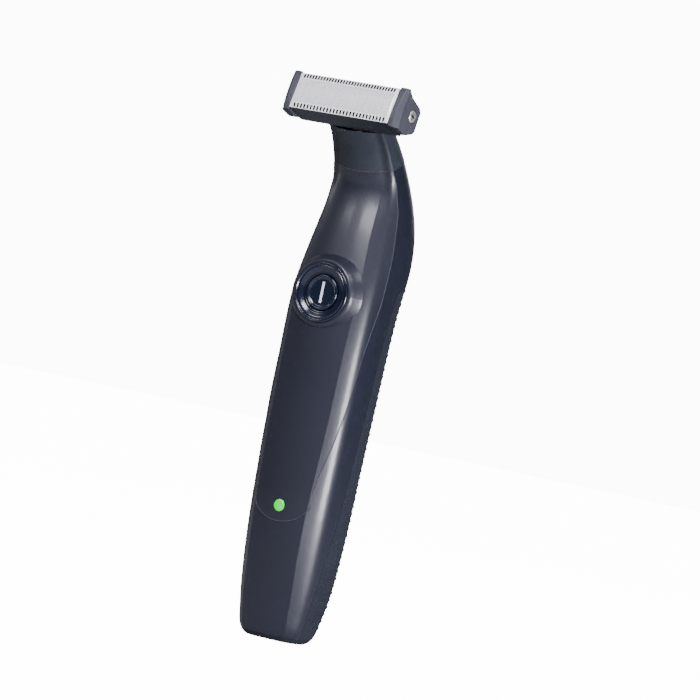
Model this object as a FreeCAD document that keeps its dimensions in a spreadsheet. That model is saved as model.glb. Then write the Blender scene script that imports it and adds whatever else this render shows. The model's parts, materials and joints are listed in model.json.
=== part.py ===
"""Body groomer: a cordless handle with a bent neck and a clip-on, tilting foil head.

The document is parametric. Every driving dimension is a cell of the sheet "dims", in millimetres and degrees.
Frame: +Z up along the handle, -Y towards the side that the foil and the button face, origin at the centre of
the flat base. Parts of the neck and head are modelled in tilted frames and placed with their Placement.
"""

import FreeCAD, Part
import math
import os

import Sketcher
from FreeCAD import Placement, Rotation, Vector

os.makedirs("parts", exist_ok=True)

SHEET = "dims"
PARTS = "parts"
DRIVING = [
    ("wall", 2.0, "thickness of the casing"),
    ("grip_depth", 1.0, "thickness of the soft grip, set into the casing"),
    ("seam_gap", 0.12, "visible gap between two casing pieces"),
    ("floor_height", 2.6, "height where the inside of the casing starts"),
    ("base_band", 1.3, "height of the soft band round the base"),
    ("panel_foot", 33.4, "lowest point of the front panel's rounded end"),
    ("panel_foot_rise", 8.4, "height of that rounded end"),
    ("panel_foot_half", 9.6, "half width of that rounded end"),
    ("grip_top", 110.0, "highest point of the grip's arch"),
    ("grip_arch_rise", 13.0, "height of that arch"),
    ("grip_arch_half", 14.6, "half width of that arch"),
    ("tilt_y", -15.5, "axis that the head tilts about"),
    ("tilt_z", 151.35, "axis that the head tilts about"),
    ("head_lean", 72.5, "lean of the foil's normal from straight up"),
    ("end_lean", 48.0, "lean of the neck's end face, and of the way the head pulls off"),
    ("end_drop", 4.5, "distance from the tilt axis to the neck's end face"),
    ("saddle_radius", 6.55, "hollow of the neck's end that the head turns in"),
    ("plug_half_width", 6.6, "half width of the oval socket inside the neck"),
    ("plug_half_depth", 3.1, "half depth of that socket"),
    ("plug_middle", 0.85, "middle of that socket, behind the tilt axis"),
    ("rocker_y", 1.0, "pivot of the drive rocker"),
    ("rocker_z", 132.0, "pivot of the drive rocker"),
    ("rocker_lean", 12.0, "lean of the rocker's own frame"),
    ("crank_throw", 0.63, "eccentricity of the crank pin"),
    ("crank_pin_radius", 0.8, "radius of the crank pin"),
    ("motor_y", 4.0, "motor axis"),
    ("motor_low", 86.0, "lower end of the motor's can"),
    ("motor_can_long", 25.0, "length of the motor's can"),
    ("motor_radius", 9.7, "radius of the motor's can"),
    ("motor_flat", 7.3, "half thickness of the can across its flats"),
    ("motor_skin", 0.8, "thickness of the can's steel"),
    ("shaft_radius", 1.0, "motor shaft"),
    ("battery_y", 1.8, "battery axis"),
    ("battery_low", 21.0, "lower end of the battery"),
    ("battery_long", 49.0, "length of the battery without its button"),
    ("battery_radius", 7.0, "radius of the battery"),
    ("board_front", -7.8, "front face of the circuit board"),
    ("board_thick", 1.0, "thickness of the circuit board"),
    ("board_low", 28.0, "lower end of the circuit board"),
    ("board_high", 106.0, "upper end of the circuit board"),
    ("board_half", 7.2, "half width of the circuit board"),
    ("button_z", 98.7, "height of the button"),
    ("button_radius", 5.1, "radius of the button"),
    ("bezel_radius", 8.6, "radius of the button's surround"),
    ("boss_radius", 9.1, "radius of the raised pad round the button"),
    ("boss_face", -13.2, "front face of that pad"),
    ("light_z", 37.8, "height of the charge light"),
    ("light_radius", 1.7, "radius of the charge light's lens"),
    ("port_y", 1.2, "charge socket, measured to its middle"),
    ("port_half_width", 4.47, "half width of the charge socket's shell"),
    ("port_half_thick", 1.6, "half thickness of the charge socket's shell"),
    ("port_long", 7.4, "length of the charge socket"),
    ("head_half", 19.1, "half length of the head"),
    ("cap_thick", 2.9, "end cap, at the foil"),
    ("foil_radius", 30.0, "curve of the foil"),
    ("foil_shift", -0.45, "middle of the foil, below the middle of the head"),
    ("foil_half", 5.4, "half width of the foil"),
    ("foil_top", 7.4, "crown of the foil above the tilt axis"),
    ("foil_thick", 0.15, "thickness of the foil"),
    ("slot_pitch", 0.82, "spacing of the comb slots"),
    ("slot_wide", 0.42, "width of a comb slot"),
    ("slot_long", 1.5, "length of a comb slot"),
    ("slot_count", 37, "comb slots in a row"),
    ("back_radius", 6.0, "round back of the head, about the tilt axis"),
    ("frame_screw_x", 3.9, "screws that hold the drive frame to the chassis, from the middle"),
    ("screw_head", 1.8, "radius of the end cap's screw head"),
]
# One row for each cross section of the handle: where its centre is, how far it leans forward, its half
# width, the depth of its front, back and widest line, the half width and radius of the front face, and the
# directions (degrees from the width) in which the side leaves the front face, reaches the widest line and
# leaves it again.
STATION_COLUMNS = (
    "y", "z", "lean", "half", "front", "back", "widest", "crease", "round", "corner", "edge_in", "edge_out",
)
STATIONS = [
    ("base", 0, 0, 0, 7.6, -5.6, 7.6, 0.6, 5.0, 30, 34, 90, 90),
    ("base_edge", 0, 1.0, 0, 8.9, -7.2, 9.5, 0.6, 6.2, 30, 36, 90, 90),
    ("base_top", 0, 2.6, 0, 9.8, -8.1, 10.7, 0.6, 7.0, 30, 38, 90, 90),
    ("heel", 0, 6.5, 0, 10.6, -9.0, 11.8, 0.5, 7.5, 31, 40, 90, 90),
    ("low", 0, 13, 0, 11.6, -10.0, 13.3, 0.3, 7.9, 32, 40, 90, 90),
    ("lower", 0, 22, 0, 12.4, -11.2, 14.1, 0.0, 8.1, 32, 40, 90, 90),
    ("light", 0, 34, 0, 13.0, -12.2, 14.5, -0.3, 8.4, 32, 40, 90, 90),
    ("middle", 0, 50, 0, 13.4, -12.5, 14.5, -0.5, 9.0, 32, 38, 90, 90),
    ("grip", 0, 68, 0, 13.7, -12.5, 15.3, -0.8, 9.6, 32, 38, 89, 91),
    ("thumb", 0, 84, 0, 13.9, -12.5, 16.6, -1.5, 9.8, 30, 38, 87, 93),
    ("button", 0.3, 99, 0, 14.1, -12.3, 18.2, -3.0, 10.0, 27, 38, 79, 92),
    ("shoulder", 1.6, 111, 0, 13.7, -11.7, 19.0, -3.2, 9.0, 22, 40, 68, 87),
    ("bend", 3.4, 122, 6, 12.5, -11.4, 14.9, -3.8, 8.0, 17, 38, 64, 84),
    ("hollow", 2.6, 131, 17, 10.9, -9.2, 10.6, -4.0, 7.4, 14, 36, 62, 84),
    ("seam", -0.7, 138.2, 29, 9.9, -7.8, 8.0, -4.0, 7.0, 12, 34, 62, 84),
    ("neck", -5.2, 143.6, 40, 9.3, -6.8, 6.6, -3.6, 6.6, 11, 34, 62, 84),
    ("tip", -10.2, 148.2, 46, 8.9, -6.2, 6.2, -3.3, 6.2, 10.5, 34, 62, 84),
    ("end", -14.6, 152.2, 50, 8.6, -6.0, 6.0, -3.2, 6.0, 10, 34, 62, 84),
]
# Height and bearing of the front panel's edge, from straight ahead, and of the grip's, from straight behind.
PANEL_EDGE = [
    (26, 38.5), (41.9, 39.4), (48.3, 43.4), (57.1, 51.1), (68, 57.7), (84, 65), (98.1, 76.3),
    (113.3, 76.6), (124.6, 74.1), (131.9, 70.5), (139.1, 65.3), (146, 60),
]
GRIP_EDGE = [
    (-3, 105.5), (3.1, 106), (11, 105.5), (21.6, 101), (29.9, 95.5), (39.4, 90.5), (54.2, 86.5), (65.7, 82.2),
    (83.3, 77), (99.6, 68.5), (118, 60),
]

doc = FreeCAD.newDocument("body_groomer")
sheet = doc.addObject("Spreadsheet::Sheet", SHEET)


def fill_sheet():
    """Writes every driving dimension to a row of the sheet: what it is, its value and its alias."""
    rows = list(DRIVING)
    for name, *values in STATIONS:
        for column, value in zip(STATION_COLUMNS, values):
            rows.append((f"{name}_section_{column}", value, "cross section"))
    for prefix, table in (("panel", PANEL_EDGE), ("grip", GRIP_EDGE)):
        for i, (height, bearing) in enumerate(table):
            rows.append((f"{prefix}_edge_{i}_height", height, "edge of a casing piece"))
            rows.append((f"{prefix}_edge_{i}_bearing", bearing, "edge of a casing piece"))
    for i, (alias, value, note) in enumerate(rows, start=1):
        sheet.set(f"A{i}", note)
        sheet.set(f"B{i}", str(value))
        sheet.setAlias(f"B{i}", alias)
    doc.recompute()


class Size(float):
    """A number that remembers the formula in the sheet's aliases that it came from."""

    def __new__(cls, value, formula=None):
        made = super().__new__(cls, value)
        made.formula = formula or f"({float(value):g})"
        return made

    def __add__(self, other):
        return combined(self, "+", other, float(self) + float(other))

    def __radd__(self, other):
        return combined(other, "+", self, float(other) + float(self))

    def __sub__(self, other):
        return combined(self, "-", other, float(self) - float(other))

    def __rsub__(self, other):
        return combined(other, "-", self, float(other) - float(self))

    def __mul__(self, other):
        return combined(self, "*", other, float(self) * float(other))

    __rmul__ = __mul__

    def __neg__(self):
        return combined(0, "-", self, -float(self))


def combined(left, sign, right, value):
    """The sum, difference or product of two sizes, with its formula."""
    left, right = (part if isinstance(part, Size) else Size(part) for part in (left, right))
    return Size(value, f"({left.formula} {sign} {right.formula})")


class Sheet:
    """Reads the sheet by alias: dim.wall is the size in the cell whose alias is wall."""

    def __getattr__(self, alias):
        return Size(sheet.get(alias), f"{SHEET}.{alias}")


def bind(target, field, value):
    """Sets a property, and ties it to the sheet where the value came from there."""
    if isinstance(value, Size) and SHEET in value.formula:
        target.setExpression(field, value.formula)
    elif "." not in field:
        setattr(target, field, value)


def tilted(y, z, lean):
    """The frame whose +Z leans forward by lean degrees, with its origin at that point."""
    return Placement(Vector(0, y, z), Rotation(Vector(1, 0, 0), float(lean)))


def ahead(y, z):
    """The frame whose +Z points to the front, -Y, and whose +Y points up."""
    return Placement(Vector(0, y, z), Rotation(Vector(1, 0, 0), 90))


fill_sheet()
dim = Sheet()
HANDLE = Placement()
HEAD = tilted(dim.tilt_y, dim.tilt_z, dim.head_lean)
ROCKER = tilted(dim.rocker_y, dim.rocker_z, dim.rocker_lean)
TIP = HEAD.Base - ROCKER.Base
ARM = tilted(dim.rocker_y, dim.rocker_z, math.degrees(math.atan2(-TIP.y, TIP.z)))
PULL = tilted(dim.tilt_y, dim.tilt_z, dim.end_lean)
NECK_END = PULL.multiply(Placement(Vector(0, 0, -dim.end_drop), Rotation()))


# ---------------------------------------------------------------- building blocks
def scratch(kind, name):
    """A new document object with its own name."""
    made = doc.addObject(kind, name)
    made.Label = made.Name
    return made


def block(name, frame, x, y, z):
    """A box between two values along each direction of the frame."""
    box = scratch("Part::Box", name)
    for field, (low, high) in (("Length", x), ("Width", y), ("Height", z)):
        bind(box, field, high - low if isinstance(high - low, Size) else float(high - low))
    corner = Placement(Vector(x[0], y[0], z[0]), Rotation())
    box.Placement = frame.multiply(corner)
    return box


DIRECTIONS = {
    "x": Rotation(Vector(0, 1, 0), 90),
    "y": Rotation(Vector(1, 0, 0), -90),
    "z": Rotation(),
}


def rod(name, frame, centre, axis, radius, low, high):
    """A cylinder along one direction of the frame, through a point of the plane square to it."""
    round_bar = scratch("Part::Cylinder", name)
    bind(round_bar, "Radius", radius)
    bind(round_bar, "Height", high - low)
    a, b = centre
    start = {"x": Vector(low, a, b), "y": Vector(a, low, b), "z": Vector(a, b, low)}[axis]
    round_bar.Placement = frame.multiply(Placement(start, DIRECTIONS[axis]))
    return round_bar


def joined(name, *parts):
    """One piece made of several shapes."""
    fuse = scratch("Part::MultiFuse", name)
    fuse.Shapes = list(parts)
    fuse.Refine = True
    return fuse


def together(name, *parts):
    """Several like pieces in one node."""
    group = scratch("Part::Compound", name)
    group.Links = list(parts)
    return group


def cut(name, base, *tools):
    """A shape with others taken away."""
    tool = tools[0] if len(tools) == 1 else joined(name + "_tools", *tools)
    made = scratch("Part::Cut", name)
    made.Base = base
    made.Tool = tool
    return made


def kept(name, base, tool):
    """What two shapes have in common."""
    made = scratch("Part::Common", name)
    made.Base = base
    made.Tool = tool
    return made


def dimension(sketch, kind, curve, point, value):
    """Dimensions one point of a sketch from the origin along an axis, or pins it to the axis."""
    if float(value) == 0.0:
        axis = -2 if kind == "DistanceX" else -1
        sketch.addConstraint(Sketcher.Constraint("PointOnObject", curve, point, axis))
        return
    i = sketch.addConstraint(Sketcher.Constraint(kind, -1, 1, curve, point, float(value)))
    if isinstance(value, Size):
        bind(sketch, f"Constraints[{i}]", value)


def sketched(name, plane, frame, loops, offset=0.0):
    """A body and a sketch on one of its planes. A loop is a list of corners, or (x, y, radius)."""
    body = scratch("PartDesign::Body", name)
    body.Placement = frame
    sketch = body.newObject("Sketcher::SketchObject", f"{name}_sketch")
    support = [feature for feature in body.Origin.OriginFeatures if feature.Role == plane]
    sketch.AttachmentSupport = (support[0], [""])
    sketch.MapMode = "FlatFace"
    sketch.AttachmentOffset = Placement(Vector(0, 0, float(offset)), Rotation())
    bind(sketch, "AttachmentOffset.Base.z", offset)
    for loop in loops:
        if isinstance(loop, tuple):
            circle(sketch, *loop)
        else:
            polygon(sketch, loop)
    return body, sketch


def circle(sketch, x, y, radius):
    """A circle, dimensioned from the origin."""
    curve = sketch.addGeometry(Part.Circle(Vector(x, y, 0), Vector(0, 0, 1), float(radius)))
    i = sketch.addConstraint(Sketcher.Constraint("Radius", curve, float(radius)))
    if isinstance(radius, Size):
        bind(sketch, f"Constraints[{i}]", radius)
    dimension(sketch, "DistanceX", curve, 3, x)
    dimension(sketch, "DistanceY", curve, 3, y)


def polygon(sketch, corners):
    """A closed outline of straight lines, each corner dimensioned from the origin."""
    count = len(corners)
    curves = []
    for i, (x, y) in enumerate(corners):
        to_x, to_y = corners[(i + 1) % count]
        curves.append(sketch.addGeometry(Part.LineSegment(Vector(x, y, 0), Vector(to_x, to_y, 0))))
    for i, curve in enumerate(curves):
        sketch.addConstraint(Sketcher.Constraint("Coincident", curve, 2, curves[(i + 1) % count], 1))
    for curve, (x, y) in zip(curves, corners):
        dimension(sketch, "DistanceX", curve, 1, x)
        dimension(sketch, "DistanceY", curve, 1, y)


def plate(name, plane, frame, loops, low, high):
    """A flat outline padded between two distances from its plane, along the plane's normal."""
    body, sketch = sketched(name, plane, frame, loops, low)
    pad = body.newObject("PartDesign::Pad", f"{name}_pad")
    pad.Profile = sketch
    bind(pad, "Length", high - low)
    return body


def turned(name, frame, corners):
    """A half outline (radius, height) revolved about the frame's +Z."""
    body, sketch = sketched(name, "XZ_Plane", frame, [corners])
    turn = body.newObject("PartDesign::Revolution", f"{name}_turn")
    turn.Profile = sketch
    turn.ReferenceAxis = (sketch, ["V_Axis"])
    turn.Angle = 360.0
    return body


def rounded(name, base, radius, picked):
    """Rounds the edges of a piece that the test picks."""
    doc.recompute()
    made = scratch("Part::Fillet", name)
    made.Base = base
    edges = [i for i, edge in enumerate(base.Shape.Edges, start=1) if picked(edge)]
    made.Edges = [(i, float(radius), float(radius)) for i in edges]
    return made


def shaped(name, shape):
    """A node whose form no feature describes: its shape is worked out from the sheet's sizes."""
    made = scratch("Part::Feature", name)
    made.Shape = shape
    return made


# ---------------------------------------------------------------- the handle's form
def station(name, column):
    """One number of a cross section, from the sheet."""
    return float(sheet.get(f"{name}_section_{column}"))


def direction(angle):
    """The unit vector at an angle from the width, in degrees."""
    return Vector(math.cos(math.radians(angle)), math.sin(math.radians(angle)), 0)


def curve_between(start, leaving, end, arriving, fullness):
    """A cubic curve between two points in given directions; fullness makes its shoulders fuller."""
    span = end - start
    reach_in = abs(span.dot(leaving)) * fullness
    reach_out = abs(span.dot(arriving)) * fullness
    curve = Part.BezierCurve()
    curve.setPoles([start, start + leaving * reach_in, end - arriving * reach_out, end])
    return curve.toBSpline()


def section(name, inset):
    """One closed cross section of the handle, inset from its surface."""
    at = {column: station(name, column) for column in STATION_COLUMNS}
    half, front, back = at["half"] - inset, at["front"] + inset, at["back"] - inset
    crease = at["crease"] - 0.62 * inset
    radius = at["round"] - inset
    crease_y = front + radius - math.sqrt(radius**2 - crease**2)
    corner, widest, top = Vector(crease, crease_y, 0), Vector(half, at["widest"], 0), Vector(0, back, 0)
    leave, reach, away = direction(at["corner"]), direction(at["edge_in"]), direction(at["edge_out"])
    side = curve_between(corner, leave, widest, reach, 0.58)
    rear = curve_between(widest, away, top, Vector(-1, 0, 0), 0.72)
    mirror = FreeCAD.Matrix(-1, 0, 0, 0, 0, 1, 0, 0, 0, 0, 1, 0, 0, 0, 0, 1)
    left = [mirrored(curve, mirror) for curve in (rear, side)]
    face = Part.Arc(Vector(-crease, crease_y, 0), Vector(0, front, 0), corner).toBSpline()
    wire = Part.Wire([curve.toShape() for curve in (face, side, rear, left[0], left[1])])
    wire.Placement = tilted(at["y"], at["z"], at["lean"])
    return wire


def mirrored(curve, matrix):
    """The same curve on the other side, run the other way."""
    other = curve.copy()
    other.transform(matrix)
    other.reverse()
    return other


def form(inset, stations):
    """A solid through the cross sections, inset from the handle's surface."""
    return Part.makeLoft([section(name, inset) for name, *_ in stations], True, False)


def wedge(table_name, count, behind, widen):
    """A solid that spreads out from the handle's middle between two bearings that change with the height."""
    sign = 1 if behind else -1
    wires = []
    for i in range(count):
        z = float(sheet.get(f"{table_name}_edge_{i}_height"))
        bearing = math.radians(float(sheet.get(f"{table_name}_edge_{i}_bearing")) + widen)
        y = middle_at(z)
        reach = 40.0
        out = Vector(reach * math.sin(bearing), y + sign * reach * math.cos(bearing), z)
        corner = Vector(reach, y + sign * reach, z)
        points = [Vector(0, y, z), out]
        points += [corner, Vector(-corner.x, corner.y, z)]
        points += [Vector(-out.x, out.y, z), points[0]]
        wires.append(Part.makePolygon(points))
    return Part.makeLoft(wires, True, True)


def middle_at(z):
    """How far forward the middle of the handle is at a height."""
    low = STATIONS[0][0]
    for name, *_ in STATIONS:
        if station(name, "z") >= z:
            break
        low = name
    span = station(name, "z") - station(low, "z")
    share = (z - station(low, "z")) / span if span > 0 else 0.0
    return station(low, "y") + share * (station(name, "y") - station(low, "y"))


def arch(top, rise, half, below):
    """A flat outline with a rounded top, as a solid that runs through the handle from front to back."""
    sign = 1 if below else -1
    steps = 24
    bow = []
    for i in range(steps + 1):
        angle = math.pi * i / steps
        bow.append(Vector(-half * math.cos(angle), -60, top - sign * rise * (1 - math.sin(angle) ** 0.9)))
    curve = Part.BSplineCurve()
    curve.interpolate(bow)
    far = top - sign * 200
    frame = [bow[-1], Vector(60, -60, bow[-1].z), Vector(60, -60, far), Vector(-60, -60, far),
             Vector(-60, -60, bow[0].z), bow[0]]
    return Part.Face(Part.Wire([curve.toShape(), Part.makePolygon(frame)])).extrude(Vector(0, 120, 0))


def slab(frame, low, high):
    """A wide block between two distances along the frame's +Z."""
    box = Part.makeBox(400, 400, high - low, Vector(-200, -200, low))
    box.Placement = frame
    return box


# ---------------------------------------------------------------- casing
def casing():
    """The handle's skin, split into base, body, front panel, grip and neck."""
    outer = form(0, STATIONS)
    hollow = form(dim.wall, STATIONS[2:])
    depth = form(dim.grip_depth, STATIONS)
    gap_turn = math.degrees(dim.seam_gap / 13.0)
    saddle = Part.makeCylinder(dim.saddle_radius, 60, Vector(-30, 0, 0), Vector(1, 0, 0))
    saddle.Placement = HEAD
    skin = outer.cut([hollow, slab(NECK_END, 0, 90), saddle])
    seam = tilted(dim.seam_section_y, dim.seam_section_z, dim.seam_section_lean)
    neck = skin.common(slab(seam, 0, 60))
    body = skin.common(slab(seam, -220, -dim.seam_gap))
    foot = body.common(slab(HANDLE, -5, dim.base_band))
    body = body.cut(slab(HANDLE, -5, dim.base_band + 0.05))
    window = wedge("panel", len(PANEL_EDGE), False, 0)
    wider = wedge("panel", len(PANEL_EDGE), False, gap_turn)
    gap = dim.seam_gap
    panel = body.common(window).common(arch(dim.panel_foot, dim.panel_foot_rise, dim.panel_foot_half, False))
    opening = wider.common(arch(dim.panel_foot - gap, dim.panel_foot_rise, dim.panel_foot_half + gap, False))
    body = body.cut(opening)
    rear = wedge("grip", len(GRIP_EDGE), True, 0)
    rear = rear.common(arch(dim.grip_top, dim.grip_arch_rise, dim.grip_arch_half, True))
    wider = wedge("grip", len(GRIP_EDGE), True, gap_turn)
    wider = wider.common(arch(dim.grip_top + gap, dim.grip_arch_rise, dim.grip_arch_half + gap, True))
    grip = body.cut(depth).common(rear)
    return foot, body.cut(wider.cut(depth)), panel, grip, neck


def neck_plug(low, high):
    """An oval block that slips into the neck, between two distances from the neck's end."""
    oval = Part.Ellipse(Vector(0, dim.plug_middle, low), dim.plug_half_width, dim.plug_half_depth)
    solid = Part.Face(Part.Wire(oval.toShape())).extrude(Vector(0, 0, high - low))
    solid.Placement = NECK_END
    return solid


foot, shell, panel, grip, neck = casing()
BUTTON = ahead(0, dim.button_z)
LIGHT = ahead(0, dim.light_z)
port_x, port_y = dim.port_half_width + 0.15, dim.port_half_thick + 0.15
port_hole = block("port_hole", HANDLE, (-port_x, port_x), (dim.port_y - port_y, dim.port_y + port_y), (-1, 5))
base_cap = cut("base_cap", shaped("base_blank", foot), port_hole)
main_shell = cut("main_shell", shaped("shell_blank", shell), port_hole)
back_grip = shaped("back_grip", grip)
neck_shell = shaped("neck_shell", neck)



def soft_boss(name, frame, radius, top):
    """A low round pad whose flank sweeps out in one hollow curve until it meets the panel."""
    flank = [(radius, top), (radius + 0.35, top - 0.18), (radius + 0.75, top - 0.65),
             (radius + 1.15, top - 1.35), (radius + 1.7, top - 2.3), (radius + 2.5, top - 3.5)]
    curve = Part.BSplineCurve()
    curve.interpolate([Vector(r, 0, z) for r, z in flank], False)
    low = flank[-1][1]
    rest = Part.makePolygon([Vector(flank[-1][0], 0, low), Vector(0, 0, low), Vector(0, 0, top),
                             Vector(radius, 0, top)])
    pad = Part.Face(Part.Wire([curve.toShape(), *rest.Edges])).revolve(Vector(), Vector(0, 0, 1), 360)
    made = shaped(name, pad)
    made.Placement = frame
    return made


boss_core = soft_boss("boss_core", BUTTON, float(dim.boss_radius), float(-dim.boss_face))
boss = cut("button_boss", boss_core, shaped("boss_limit", form(2.0, STATIONS[2:])))
bezel_seat = rod("bezel_seat", BUTTON, (0, 0), "z", dim.bezel_radius + 0.05, 11.4, 20)
button_hole = rod("button_hole", BUTTON, (0, 0), "z", dim.button_radius + 1.1, 5, 20)
light_hole = rod("light_hole", LIGHT, (0, 0), "z", dim.light_radius + 0.05, 5, 20)
front_panel = cut("front_panel", joined("panel_boss", shaped("panel_blank", panel), boss),
                  bezel_seat, button_hole, light_hole)

# ---------------------------------------------------------------- button and light
button_bezel = turned("button_bezel", BUTTON, [
    (dim.button_radius + 0.2, 11.45), (dim.bezel_radius, 11.45), (dim.bezel_radius, 13.45),
    (dim.bezel_radius - 0.35, 13.65), (dim.bezel_radius - 1.1, 13.15), (dim.bezel_radius - 2.1, 12.9),
    (dim.button_radius + 0.5, 12.85), (dim.button_radius + 0.2, 12.6),
])
button_cap = turned("button_cap", BUTTON, [
    (0, 10.25), (1.2, 10.25), (1.2, 11.6), (dim.button_radius - 0.9, 11.6), (dim.button_radius - 0.9, 10.7),
    (dim.button_radius + 0.6, 10.7), (dim.button_radius + 0.6, 11.1), (dim.button_radius, 11.1),
    (dim.button_radius, 12.9), (dim.button_radius - 0.4, 13.2), (dim.button_radius - 1.2, 12.85), (3.5, 12.7),
    (0, 12.7),
])
button_mark = block("button_mark", BUTTON, (-0.33, 0.33), (-3.0, 3.0), (12.72, 12.82))
switch_plunger = rod("switch_plunger", BUTTON, (0, 0), "z", 1.0, 8.95, 10.2)
button_seal = turned("button_seal", BUTTON, [(4.0, 9.3), (6.0, 9.3), (6.0, 9.9), (4.0, 9.9)])
switch_body = block("switch_body", BUTTON, (-2.6, 2.6), (-2.6, 2.6), (-dim.board_front + 0.02, 9.2))
tact_switch = cut("tact_switch", switch_body, rod("switch_bore", BUTTON, (0, 0), "z", 1.1, 8.3, 12))
light_lens = turned("light_lens", LIGHT, [
    (0, 9.5), (dim.light_radius + 0.6, 9.5), (dim.light_radius + 0.6, 10.1), (dim.light_radius, 10.1),
    (dim.light_radius, 12.3), (dim.light_radius - 0.4, 12.5), (0, 12.6),
])
charge_light = block("charge_light", LIGHT, (-0.8, 0.8), (-0.6, 0.6), (-dim.board_front + 0.02, 8.6))

# ---------------------------------------------------------------- board, socket, battery
circuit_board = plate("circuit_board", "XZ_Plane", HANDLE, [
    [(-dim.board_half, dim.board_low), (dim.board_half, dim.board_low), (dim.board_half, dim.board_high),
     (-dim.board_half, dim.board_high)],
    (5.6, dim.board_low + 3, 1.0), (-5.6, dim.board_low + 3, 1.0),
], -dim.board_front - dim.board_thick, -dim.board_front)
chip_front = (-dim.board_front + 0.02, -dim.board_front + 1.1)
board_chips = together(
    "board_chips",
    block("controller", ahead(0, 80), (-2.5, 2.5), (-2.5, 2.5), chip_front),
    block("charger", ahead(0, 62), (-2.0, 2.0), (-1.5, 1.5), chip_front),
    block("coil", ahead(0, 50), (-1.5, 1.5), (-1.5, 1.5), chip_front),
    *[block(f"capacitor_{i}", ahead(0, 70), (x - 0.6, x + 0.6), (-0.9, 0.9), chip_front)
      for i, x in enumerate((-4.5, -1.5, 1.5, 4.5))],
)
PORT = Placement(Vector(0, dim.port_y, 0), Rotation())
socket_out = block("socket_out", PORT, (-dim.port_half_width, dim.port_half_width),
                   (-dim.port_half_thick, dim.port_half_thick), (0.3, 0.3 + dim.port_long))
socket_in = block("socket_in", PORT, (0.25 - dim.port_half_width, dim.port_half_width - 0.25),
                  (0.25 - dim.port_half_thick, dim.port_half_thick - 0.25), (-1, dim.port_long - 0.7))
charge_socket = cut("charge_socket", socket_out, socket_in)
socket_tongue = block("socket_tongue", PORT, (-3.3, 3.3), (-0.35, 0.35), (1.0, dim.port_long - 0.72))
port_board = plate("port_board", "XY_Plane", HANDLE, [
    [(-6.4, -5.0), (6.4, -5.0), (6.4, 6.8), (-6.4, 6.8)],
], dim.port_long + 0.35, dim.port_long + 1.35)
CELL = Placement(Vector(0, dim.battery_y, 0), Rotation())
cell_top = dim.battery_low + dim.battery_long
battery_cell = turned("battery_cell", CELL, [
    (0, dim.battery_low), (dim.battery_radius - 0.3, dim.battery_low),
    (dim.battery_radius, dim.battery_low + 0.3), (dim.battery_radius, cell_top - 0.4),
    (dim.battery_radius - 0.4, cell_top), (2.6, cell_top), (2.6, cell_top + 1.0), (0, cell_top + 1.0),
])
tab_z = ((dim.battery_low - 0.35, dim.battery_low - 0.05), (cell_top + 1.05, cell_top + 1.35))
battery_tabs = together("battery_tabs", *[
    block(f"battery_tab_{i}", CELL, (-2.0, 2.0), (-6.6, 3.0), z) for i, z in enumerate(tab_z)
])
chassis_front, chassis_back = 5.55, 6.72
SCREW_LINE = ahead(0, 108.8)
screw_places = [(i, side * dim.frame_screw_x) for i, side in enumerate((-1, 1))]
spine = plate("chassis_spine", "XZ_Plane", HANDLE, [
    [(-6.9, 12.0), (6.9, 12.0), (6.9, 111.2), (-6.9, 111.2)],
    *[(x, 108.8, 0.95) for _, x in screw_places],
], chassis_front, chassis_back)
chassis = joined(
    "chassis", spine,
    block("low_shelf", HANDLE, (-7.2, 7.2), (-5.6, 8.0), (dim.battery_low - 2.2, dim.battery_low - 0.4)),
    block("high_shelf", HANDLE, (-7.2, 7.2), (-5.6, 8.0), (cell_top + 1.4, cell_top + 3.0)),
    block("motor_shelf", HANDLE, (-7.2, 7.2), (-5.6, 10.5), (dim.motor_low - 5.0, dim.motor_low - 3.4)),
    *[block(f"cell_rail_{i}", HANDLE, x, (-5.6, -1.2), (dim.battery_low - 2.2, cell_top + 3.0))
      for i, x in enumerate(((-8.4, -7.15), (7.15, 8.4)))],
)
frame_screws = together("frame_screws", *[
    joined(f"frame_screw_{i}",
           rod(f"screw_head_{i}", SCREW_LINE, (x, 0), "z", 1.5, chassis_back + 0.02, chassis_back + 0.9),
           rod(f"screw_shank_{i}", SCREW_LINE, (x, 0), "z", 0.9, 4.2, chassis_back + 0.1))
    for i, x in screw_places
])

# ---------------------------------------------------------------- motor
MOTOR = Placement(Vector(0, dim.motor_y, 0), Rotation())
can_top = dim.motor_low + dim.motor_can_long


def flattened(name, radius, flat, low, high):
    """A round bar with two flats, front and back."""
    bar = rod(name + "_round", MOTOR, (0, 0), "z", radius, low, high)
    return kept(name, bar, block(name + "_flats", MOTOR, (-12, 12), (-flat, flat), (low, high)))


can_out = flattened("can_out", dim.motor_radius, dim.motor_flat, dim.motor_low, can_top)
can_in = flattened("can_in", dim.motor_radius - dim.motor_skin, dim.motor_flat - dim.motor_skin,
                   dim.motor_low - 1, can_top - dim.motor_skin)
can_bore = rod("can_bore", MOTOR, (0, 0), "z", 1.3, can_top - 3, can_top + 3)
motor_can = cut("motor_can", can_out, can_in, can_bore)
motor_end_cap = cut("motor_end_cap",
                    flattened("end_cap_blank", dim.motor_radius, dim.motor_flat, dim.motor_low - 1.8,
                              dim.motor_low - 0.02),
                    rod("end_cap_bore", MOTOR, (0, 0), "z", 1.05, 80, 90))
motor_magnets = cut("motor_magnets", rod("magnet_ring", MOTOR, (0, 0), "z", 8.85, 89, 107),
                    rod("magnet_bore", MOTOR, (0, 0), "z", 6.9, 80, 120),
                    block("magnet_front", MOTOR, (-12, 12), (-12, -4.5), (80, 120)),
                    block("magnet_back", MOTOR, (-12, 12), (4.5, 12), (80, 120)))
motor_shaft = rod("motor_shaft", MOTOR, (0, 0), "z", dim.shaft_radius, 84.6, 115.4)
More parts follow.
